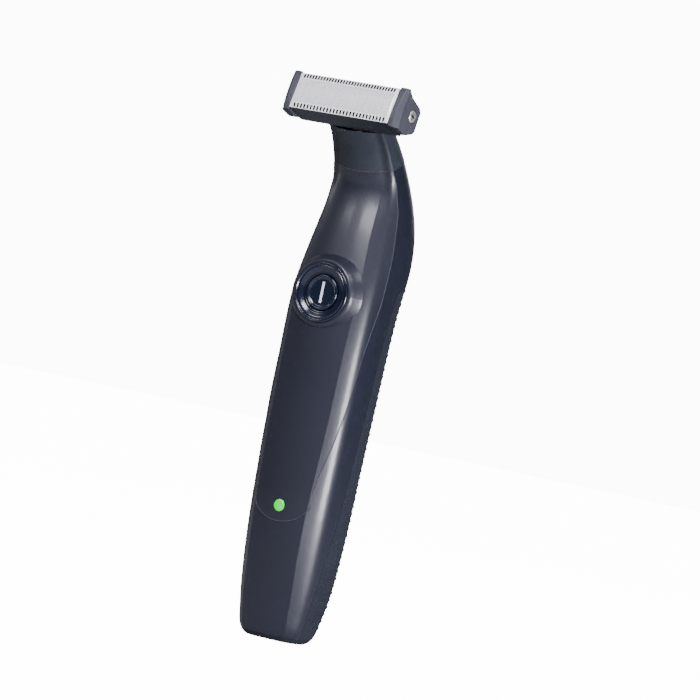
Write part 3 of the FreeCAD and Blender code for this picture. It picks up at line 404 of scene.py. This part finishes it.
def holed(outline, holes):
    """A flat outline with holes, as 2-D points and triangles."""
    verts, loops = [], []
    for loop in map(turned_left, [outline, *holes]):
        loops.append(list(range(len(verts), len(verts) + len(loop))))
        verts += [Vector(p) for p in loop]
    made = delaunay_2d_cdt(verts, [], loops, INSIDE_ONLY, SAME_CORNER)
    points, faces, origins = made[0], made[2], made[5]
    solid = [face for face, origin in zip(faces, origins) if list(origin) == [0]]
    return [tuple(p) for p in points], solid


def thick(points, faces, surface, depth):
    """A sheet of flat faces laid on a surface: surface(a, b, d) gives the point d below it."""
    count = len(points)
    edges = defaultdict(int)
    for face in faces:
        for a, b in zip(face, face[1:] + face[:1]):
            edges[(a, b)] += 1
    walls = [(a, b, b + count, a + count) for a, b in edges if (b, a) not in edges]
    solid = [surface(a, b, 0.0) for a, b in points] + [surface(a, b, depth) for a, b in points]
    under = [tuple(v + count for v in reversed(face)) for face in faces]
    return solid, [tuple(face) for face in faces] + under + walls


def disc(radius, steps):
    """The points of a circle."""
    angles = [2 * math.pi * k / steps for k in range(steps)]
    return [(radius * math.cos(a), radius * math.sin(a)) for a in angles]


def cross(arm, half):
    """The outline of a cross."""
    quarter = [(arm, half), (half, half), (half, arm)]
    outline = []
    for _ in range(4):
        outline += quarter
        quarter = [(-y, x) for x, y in quarter]
    return outline


# ---------------------------------------------------------------- button
# Outlines that turn about the button's axis: (radius, height) in the BUTTON frame.
BEZEL = [
    (5.32, 11.5), (8.6, 11.5), (8.6, 13.3), (8.4, 13.62), (8.1, 13.62), (7.85, 13.25), (7.6, 13.2),
    (7.4, 13.38), (7.0, 13.28), (5.95, 12.7), (5.6, 12.72), (5.32, 12.6), (5.32, 11.5),
]
DISH = [
    (0, 10.6), (5.05, 10.6), (5.05, 12.85), (4.85, 13.14), (4.5, 13.14), (4.15, 12.86), (3.8, 12.68),
    (3.55, 12.7), (0, 12.7),
]
BEZEL_EASE, DISH_EASE = 0.16, 0.14
piece("button_ring", BUTTON, *lathe(eased(BEZEL, BEZEL_EASE)), "handle", "bezel_gloss", ["button_bezel"])
piece("button_dish", BUTTON, *lathe(eased(DISH, DISH_EASE)), "power_button", "bezel_gloss", ["button_cap"])

# ---------------------------------------------------------------- foil
FOIL_RADIUS = 30.0
FOIL_SHIFT = -0.45
FOIL_HALF = 5.4
FOIL_TOP = 7.4
FOIL_THICK = 0.12
FOIL_REACH = 16.1
# Each row of comb slots: the side of the foil it is on, how many, how far apart and how wide.
SLOT_ROWS = [(-1, 28, 1.08, 0.64), (1, 33, 0.92, 0.62)]
SLOT_NEAR, SLOT_FAR = 3.85, 5.26
# The lattice: its pitch along a row, the pitch of the rows, and each hole's size as a share of them.
MESH_PITCH, MESH_ROW, MESH_HOLE = 0.62, 0.31, 0.56
MESH_HALF_X, MESH_HALF_Y = 15.4, 3.45
ARC_STEPS = 6


def on_foil(x, y, d):
    """A point of the foil's curved face, d below it."""
    sink = FOIL_RADIUS - math.sqrt(FOIL_RADIUS**2 - y**2)
    return (x, y * (1 - d / FOIL_RADIUS) + FOIL_SHIFT, FOIL_TOP - sink - d)


def comb_slot(x, near, far, wide):
    """A slot with rounded ends across the foil's edge."""
    half = wide / 2
    low, high = min(near, far) + half, max(near, far) - half
    arc = [math.pi * k / ARC_STEPS for k in range(ARC_STEPS + 1)]
    top = [(x + half * math.cos(a), high + half * math.sin(a)) for a in arc]
    bottom = [(x - half * math.cos(a), low - half * math.sin(a)) for a in arc]
    return top + bottom


def comb_slots():
    """Both rows of comb slots."""
    slots = []
    for side, count, pitch, wide in SLOT_ROWS:
        for i in range(count):
            x = (i - (count - 1) / 2) * pitch
            slots.append(comb_slot(x, side * SLOT_NEAR, side * SLOT_FAR, wide))
    return slots


def lattice():
    """The pierced diamonds, in staggered rows."""
    rows, columns = int(MESH_HALF_Y / MESH_ROW), int(MESH_HALF_X / MESH_PITCH)
    wide, tall = MESH_PITCH / 2 * MESH_HOLE, MESH_ROW * MESH_HOLE
    diamonds = []
    for j in range(-rows, rows + 1):
        for i in range(-columns, columns + 1):
            x, y = (i + 0.5 * (j % 2)) * MESH_PITCH, j * MESH_ROW
            if abs(x) + wide < MESH_HALF_X:
                diamonds.append([(x + wide, y), (x, y + tall), (x - wide, y), (x, y - tall)])
    return diamonds


def foil():
    """The foil: two rows of comb slots, with a fine pierced lattice between them."""
    reach, half = FOIL_REACH, FOIL_HALF
    outline = [(-reach, -half), (reach, -half), (reach, half), (-reach, half)]
    holes = comb_slots() + lattice()
    points, faces = thick(*holed(outline, holes), on_foil, FOIL_THICK)
    piece("foil_mesh", HEAD, points, faces, "head_frame", "foil_steel", ["foil_sheet"])


foil()

# ---------------------------------------------------------------- end caps and their screws
# How far along the head a cap's rings are: beside the foil, at its front and rear creases, and its flat side.
CAP_INNER, CAP_FRONT_CREASE, CAP_REAR_CREASE, CAP_OUTER = 16.2, 17.55, 18.65, 19.1
CREASE_SWEEP = 0.6  # how much further out the front crease is at its last corner than at its first
STRIP_DEPTH, STRIP_TAPER = 1.45, 0.75  # how far behind it the flat side starts, and how much less at the last
STRIP_SHIFT = 0.12
REAR_EASE = 0.32  # how far in from the rear crease the flat side starts
CAP_EDGE = [
    (-6.45, 6.6), (-4.3, 7.05), (-2.2, 7.25), (-0.3, 7.3), (2.0, 7.2), (4.0, 7.0), (5.6, 6.7), (5.15, 5.0),
    (4.45, 3.3), (4.1, 0.5), (3.75, -2.3), (3.0, -3.4), (-3.2, -3.9), (-4.1, -3.3), (-5.6, -0.6), (-6.5, 1.3),
    (-6.6, 4.2),
]
CAP_FRONT = 7  # how many of those corners are beside the foil
CAP_MIDDLE = Vector((-0.6, 1.6))
CAP_ROUNDING, CAP_ROUNDING_STEPS, CAP_ROUNDING_TURN = 0.22, 4, 20
UNDERSIDE = Vector((-0.94, -0.34))  # which way the underside faces, across the head
PAINTED_SHADE_FACING = 0.55  # how squarely a face has to look that way to be painted dark as shade
END_FACING = 0.9  # a face that looks along the head more squarely than this is an end, not a wall
SEAT_RADIUS, SEAT_FLOOR, SEAT_STEPS = 1.95, 18.35, 40


def cap_rings():
    """The points at a cap's creases, and the flat points round its side."""
    creases, side_face = [], []
    low, high = CAP_EDGE[0][0], CAP_EDGE[CAP_FRONT - 1][0]
    for i, place in enumerate(CAP_EDGE):
        corner, share = Vector(place), (place[0] - low) / (high - low)
        if i < CAP_FRONT:
            creases.append((CAP_FRONT_CREASE + CREASE_SWEEP * share, *corner))
            side_face.append(tuple(corner + Vector((STRIP_SHIFT, -STRIP_DEPTH + STRIP_TAPER * share))))
        else:
            creases.append((CAP_REAR_CREASE, *corner))
            side_face.append(tuple(corner + (CAP_MIDDLE - corner).normalized() * REAR_EASE))
    return creases, side_face


def rounded(point):
    """A flat point to four places, so that it can be found again."""
    return tuple(round(v, 4) for v in point)


def cap_mesh():
    """Points and faces of the right end cap: wall, creases, flat side and the seat for the screw."""
    creases, side_face = cap_rings()
    seat = disc(SEAT_RADIUS, SEAT_STEPS)
    flat, triangles = holed(side_face, [seat])
    count, base = len(CAP_EDGE), 2 * len(CAP_EDGE)
    points = [(CAP_INNER, *corner) for corner in CAP_EDGE] + creases + [(CAP_OUTER, *p) for p in flat]
    index = {rounded(p): base + i for i, p in enumerate(flat)}
    outer = [index[rounded(p)] for p in side_face]
    lip = [index[rounded(p)] for p in seat]
    faces = [tuple(base + v for v in triangle) for triangle in triangles]
    for i in range(count):
        j = (i + 1) % count
        faces.append((i, j, count + j, count + i))
        faces.append((count + i, count + j, outer[j], outer[i]))
    floor = len(points)
    points += [(SEAT_FLOOR, *p) for p in seat]
    for i in range(SEAT_STEPS):
        j = (i + 1) % SEAT_STEPS
        faces.append((lip[i], lip[j], floor + j, floor + i))
    faces.append(tuple(range(floor, floor + SEAT_STEPS)))
    faces.append(tuple(range(count)))
    return points, faces


def end_cap(word, side):
    """An end cap: a front strip that turns over a crease into the flat side. Its underside is painted dark as
    shade.
    """
    points, faces = cap_mesh()
    points = [(side * x, y, z) for x, y, z in points]
    made = piece(f"cap_shell_{word}", HEAD, points, faces, "head_frame", "cap_grey", [f"end_cap_{word}"])
    # painted shade: faces turned to the underside get the dark trough finish
    made.data.materials.append(MATERIALS["trough_dark"].material)
    to_head = HEAD.to_3x3().inverted()
    for face in made.data.polygons:
        normal = to_head @ face.normal
        if abs(normal.x) < END_FACING and normal.yz.normalized().dot(UNDERSIDE) > PAINTED_SHADE_FACING:
            face.material_index = 1
        face.use_smooth = False
    soft = made.modifiers.new("soft_edges", "BEVEL")
    soft.width = CAP_ROUNDING * MM
    soft.segments = CAP_ROUNDING_STEPS
    soft.limit_method = "ANGLE"
    soft.angle_limit = math.radians(CAP_ROUNDING_TURN)


SCREW_TOP, SCREW_FLAT, SCREW_STEPS = 19.07, 1.3, 64
SCREW_DOME = [(1.8, 18.4), (1.8, 18.8), (1.68, 18.96), (1.45, 19.05), (SCREW_FLAT, SCREW_TOP)]
CROSS_ARM, CROSS_HALF = 1.1, 0.32
CROSS_WALL, CROSS_FLOOR = 0.4, 18.6


def on_screw(a, b, d):
    """A point of the screw's flat top, d below it."""
    return (a, b, SCREW_TOP - d)


def cap_screw(word, side):
    """A low domed screw head with a cross recess, whose floor is painted black as shade."""
    points, faces = lathe(SCREW_DOME, SCREW_STEPS)
    recess = cross(CROSS_ARM, CROSS_HALF)
    top, walls = thick(*holed(disc(SCREW_FLAT, SCREW_STEPS), [recess]), on_screw, CROSS_WALL)
    faces += [tuple(len(points) + v for v in face) for face in walls]
    points += top
    faces.append(tuple(range(len(points), len(points) + len(recess))))
    points += [(a, b, CROSS_FLOOR) for a, b in recess]
    points = [(side * c, a, b) for a, b, c in points]
    made = piece(f"cap_screw_{word}", HEAD, points, faces, "head_frame", "screw_steel", ["end_cap_screws"])
    # painted shade: the recess floor gets black plastic
    made.data.materials.append(MATERIALS["black_plastic"].material)
    for face in made.data.polygons:
        if len(face.vertices) == len(recess):
            face.material_index = 1


for side, word in ((-1, "left"), (1, "right")):
    end_cap(word, side)
    cap_screw(word, side)

# ---------------------------------------------------------------- rolled edges along the seams, in a lighter grey as a painted highlight
EDGE_LINE = 0.11 * MM
EDGE_SPACING = 1.2 * MM
EDGE_TURN = 50  # degrees; an edge is sharp where its faces meet at more than this
OUTSIDE = 0.35  # how squarely a face has to look outward to be part of the skin
HANDLE_MIDDLE = 2 * MM  # outward is away from an upright line this far behind the origin
LONG_LOOP = 30 * MM


def skin_edges(mesh):
    """The sharp edges of a shell where its outer skin ends, as links between corners."""
    corners = [tuple(round(c, 6) for c in v.co) for v in mesh.vertices]
    normals_at = defaultdict(list)
    for face in mesh.polygons:
        around = [corners[v] for v in face.vertices]
        for a, b in zip(around, around[1:] + around[:1]):
            normals_at[tuple(sorted((a, b)))].append(face.normal)
    links = defaultdict(set)
    for (a, b), normals in normals_at.items():
        if a == b or len(normals) != 2 or normals[0].angle(normals[1], 0) <= math.radians(EDGE_TURN):
            continue
        outward = Vector((a[0] + b[0], a[1] + b[1] - 2 * HANDLE_MIDDLE, 0)).normalized()
        if max(n.dot(outward) for n in normals) > OUTSIDE:
            links[a].add(b)
            links[b].add(a)
    return links


def rims(node):
    """The lines along which a shell's skin ends, each as points in order."""
    links = skin_edges(frame["nodes"][node].data)
    loops = []
    while links:
        here = next(iter(links))
        loop = [here]
        while links.get(here):
            step = links[here].pop()
            links[step].discard(here)
            if not links[here]:
                links.pop(here)
            here = step
            loop.append(here)
        links.pop(here, None)
        loops.append([Vector(p) for p in loop])
    return loops


def length(loop):
    """The length of a line of points."""
    return sum((b - a).length for a, b in zip(loop, loop[1:]))


def mean_height(loop):
    """The mean height of a line of points."""
    return sum(p.z for p in loop) / len(loop)


def painted_highlight_line(name, loop, slot):
    """A fine rolled edge along a seam of the handle, whose lighter grey is a painted highlight."""
    points = [loop[0]]
    for point in loop[1:]:
        if (point - points[-1]).length >= EDGE_SPACING:
            points.append(point)
    data = bpy.data.curves.new(name, "CURVE")
    data.dimensions = "3D"
    data.bevel_depth = EDGE_LINE
    data.bevel_resolution = 2
    spline = data.splines.new("NURBS")
    spline.points.add(len(points) - 1)
    for target, point in zip(spline.points, points):
        target.co = (*point, 1)
    spline.order_u = 3
    spline.use_cyclic_u = True
    data.materials.append(MATERIALS[slot].material)
    made = bpy.data.objects.new(name, data)
    bpy.context.collection.objects.link(made)
    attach(made, "handle")


long_rims = [loop for loop in rims("neck_shell") if length(loop) > LONG_LOOP]
# painted highlight: the lighter cap grey on these edges stands in for their highlight
painted_highlight_line("panel_edge_highlight", max(rims("front_panel"), key=length), "cap_grey")
painted_highlight_line("neck_edge_highlight", min(long_rims, key=mean_height), "cap_grey")

# ---------------------------------------------------------------- studs of the soft grip
STUD_RADIUS, STUD_HEIGHT, STUD_STEPS = 0.5, 0.2, 10
# A stud's rings (radius, height), under its crown.
STUD_RINGS = [
    (STUD_RADIUS, -0.1), (STUD_RADIUS * 0.86, STUD_HEIGHT * 0.6), (STUD_RADIUS * 0.5, STUD_HEIGHT * 0.95),
]
STUD_ROW = 2.1
STUD_TURN = 11.0  # degrees about the handle from one stud to the next
STUD_REACH = 8  # studs either side of the middle
STUD_BELOW, STUD_ABOVE = 4, 3  # bare ends of the grip
CLEAR_ACROSS, CLEAR_UP = 1.3, 1.6  # how much grip there must be round a stud
STUD_FACING = 0.4  # how squarely the grip has to look outward there
RAY_START, RAY_LENGTH = 0.05, 0.045  # metres


def stud_place(grip, turn, z):
    """Where a stud sits on the grip and which way it faces, or None where the grip ends too near."""
    away = Vector((math.sin(turn), math.cos(turn), 0))
    across = Vector((away.y, -away.x, 0))
    hits = []
    for side, up in ((0, 0), (CLEAR_ACROSS, 0), (-CLEAR_ACROSS, 0), (0, CLEAR_UP), (0, -CLEAR_UP)):
        start = away * RAY_START + Vector((0, 0, z + up * MM)) + across * side * MM
        hits.append(grip.ray_cast(start, -away, distance=RAY_LENGTH))
    if all(found and normal.dot(away) > STUD_FACING for found, _, normal, _ in hits):
        return hits[0][1], hits[0][2]
    return None


def add_stud(points, faces, at, normal):
    """One stud: a low dome of rings and a crown."""
    side = normal.cross(Vector((0, 0, 1))).normalized()
    up = side.cross(normal)
    base, steps = len(points), STUD_STEPS
    for radius, height in STUD_RINGS:
        for k in range(steps):
            a = 2 * math.pi * k / steps
            out = (side * math.cos(a) + up * math.sin(a)) * radius * MM
            points.append((at + out + normal * height * MM) / MM)
    points.append((at + normal * STUD_HEIGHT * MM) / MM)
    last = base + (len(STUD_RINGS) - 1) * steps
    for low in range(base, last, steps):
        high = low + steps
        for k in range(steps):
            j = (k + 1) % steps
            faces.append((low + k, low + j, high + j, high + k))
    for k in range(steps):
        faces.append((last + k, last + (k + 1) % steps, last + steps))
    faces.append(tuple(base + k for k in reversed(range(steps))))


def studs():
    """Small round studs over the soft grip, in staggered rows."""
    grip = frame["nodes"]["back_grip"]
    low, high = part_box("back_grip")
    points, faces = [], []
    row, z = 0, low.z + STUD_BELOW * MM
    while z < high.z - STUD_ABOVE * MM:
        for k in range(-STUD_REACH, STUD_REACH + 1):
            place = stud_place(grip, math.radians(STUD_TURN * (k + 0.5 * (row % 2))), z)
            if place:
                add_stud(points, faces, *place)
        row += 1
        z += STUD_ROW * MM
    return points, faces


piece("grip_studs", Matrix(), *studs(), "handle", "soft_grip")

# ---------------------------------------------------------------- scene
studio()
camera()
